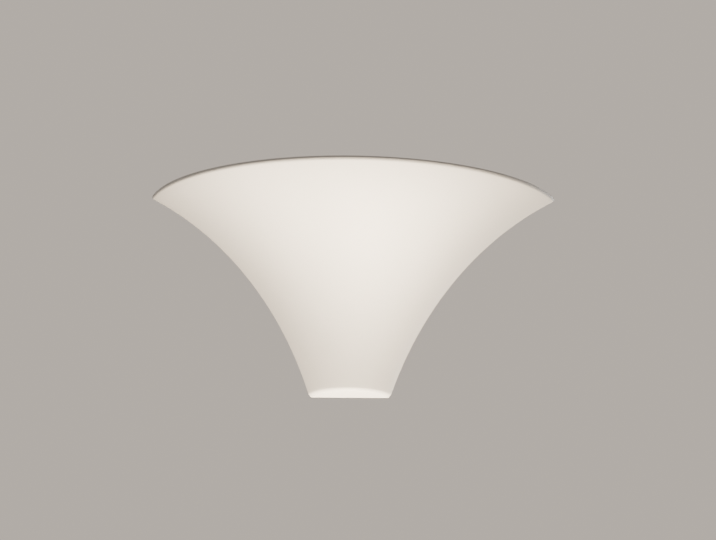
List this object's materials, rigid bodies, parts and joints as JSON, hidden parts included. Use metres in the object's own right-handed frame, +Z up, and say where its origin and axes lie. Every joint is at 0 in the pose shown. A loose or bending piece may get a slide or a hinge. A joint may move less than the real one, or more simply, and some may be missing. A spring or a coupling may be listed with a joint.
{
  "type": "uplighter wall sconce",
  "caption": "Half-round flared ceramic wall uplighter with an open top, a hidden wall bracket and a sideways screw-cap lamp.",
  "frame": {"origin": "middle of the two wall-screw slots, on the wall plane", "axes": "+Y into the wall, so the room is towards -Y; +Z up; +X to the right for someone who faces the wall"},
  "size_m": [0.401, 0.1587, 0.2056],
  "materials": {
    "ceramic": "matt, smooth, white",
    "zinc_steel": "bright zinc plated",
    "silicone": "translucent white silicone",
    "brass": "plain turned brass",
    "holder_plastic": "moulded, satin",
    "porcelain": "glazed white",
    "black_insulator": "black fused insulator",
    "cap_metal": "rolled thread, plated",
    "opal_glass": "opal white",
    "block_plastic": "moulded",
    "live_insulation": "brown silicone sleeve",
    "neutral_insulation": "blue silicone sleeve",
    "bush_rubber": "soft black"
  },
  "bodies": {
    "root": {"shade": "ceramic", "wall_bracket": "zinc_steel", "fixing_studs": "zinc_steel", "rear_cushions": "silicone", "front_cushions": "silicone", "steel_washers": "zinc_steel", "knurled_nuts": "brass", "lampholder_bracket": "zinc_steel", "bracket_screws": "zinc_steel", "threaded_tube": "zinc_steel", "toothed_washer": "zinc_steel", "tube_nut": "brass", "lampholder_dome": "holder_plastic", "lampholder_skirt": "holder_plastic", "lampholder_core": "porcelain", "screw_shell": "brass", "centre_contact": "brass", "holder_terminals": "brass", "terminal_block": "block_plastic", "terminal_barrels": "brass", "terminal_screws": "zinc_steel", "block_screw": "zinc_steel", "live_wire": "live_insulation", "neutral_wire": "neutral_insulation", "earth_stud": "zinc_steel", "earth_washer": "brass", "earth_nut": "brass", "cable_bush": "bush_rubber"},
    "lamp_tip": {"lamp_eyelet": "brass"},
    "lamp": {"lamp_insulator": "black_insulator", "lamp_cap": "cap_metal", "lamp_glass": "opal_glass"}
  },
  "joints": [
    {"name": "lamp_travel", "type": "slide", "parent": "root", "child": "lamp_tip", "axis": [1, 0, 0], "range_m": [0, 0.01411]},
    {"name": "lamp_turn", "type": "hinge", "parent": "lamp_tip", "child": "lamp", "pos_m": [0, -0.033, 0.03], "axis": [1, 0, 0], "range_deg": [0, 1800]}
  ],
  "couplings": [
    {"joint": "lamp_travel", "follows": "lamp_turn", "m_per_rad": 0.00044913}
  ]
}
